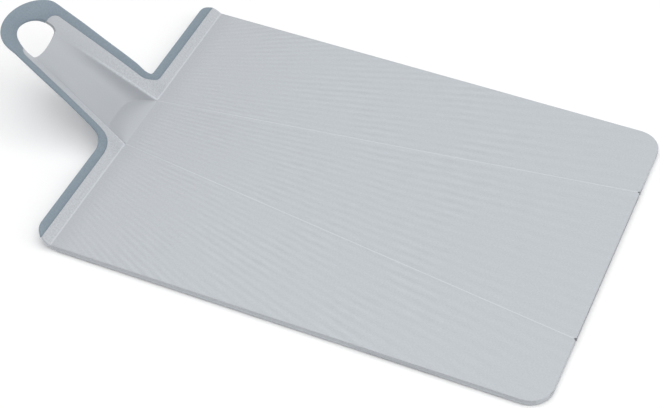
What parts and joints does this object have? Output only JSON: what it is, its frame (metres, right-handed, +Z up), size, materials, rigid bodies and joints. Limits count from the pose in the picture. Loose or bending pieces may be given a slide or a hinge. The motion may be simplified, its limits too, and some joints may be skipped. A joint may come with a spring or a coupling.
{
  "type": "folding chopping board",
  "caption": "Plastic chopping board with a scooped, tilted handle and soft rim; its sides fold up on living hinges to make a pouring chute.",
  "frame": {"origin": "on the surface it stands on, under the middle of the bounding box", "axes": "+X towards the pouring edge, the handle towards -X, +Y towards the board's left side, +Z up"},
  "size_m": [0.4586, 0.27, 0.0719],
  "materials": {
    "board_plastic": "fine matt texture",
    "hinge_plastic": "smooth, thinned to flex",
    "soft_rim": "soft matt",
    "foot": "soft matt"
  },
  "bodies": {
    "centre": {"centre_panel": "board_plastic", "handle_shell": "board_plastic", "handle_rim": "soft_rim", "left_gusset": "board_plastic", "right_gusset": "board_plastic", "left_rim_corner": "soft_rim", "right_rim_corner": "soft_rim", "left_hinge_web": "hinge_plastic", "right_hinge_web": "hinge_plastic", "middle_near_foot": "foot", "middle_far_foot": "foot"},
    "left_side": {"left_panel": "board_plastic", "left_shoulder_rim": "soft_rim", "left_near_foot": "foot", "left_far_foot": "foot"},
    "right_side": {"right_panel": "board_plastic", "right_shoulder_rim": "soft_rim", "right_near_foot": "foot", "right_far_foot": "foot"}
  },
  "joints": [
    {"name": "left_fold", "type": "hinge", "parent": "centre", "child": "left_side", "pos_m": [-0.12566, 0.0251, 0.00475], "axis": [0.9908, 0.1351, 0], "range_deg": [0, 45], "stiffness_Nm_per_rad": 0.3, "deforming": ["left_gusset", "left_rim_corner", "left_hinge_web"]},
    {"name": "right_fold", "type": "hinge", "parent": "centre", "child": "right_side", "pos_m": [-0.12566, -0.0251, 0.00475], "axis": [-0.9908, 0.1351, 0], "range_deg": [0, 45], "stiffness_Nm_per_rad": 0.3, "deforming": ["right_gusset", "right_rim_corner", "right_hinge_web"]}
  ],
  "couplings": [
    {"joint": "right_fold", "follows": "left_fold", "ratio": 1}
  ]
}
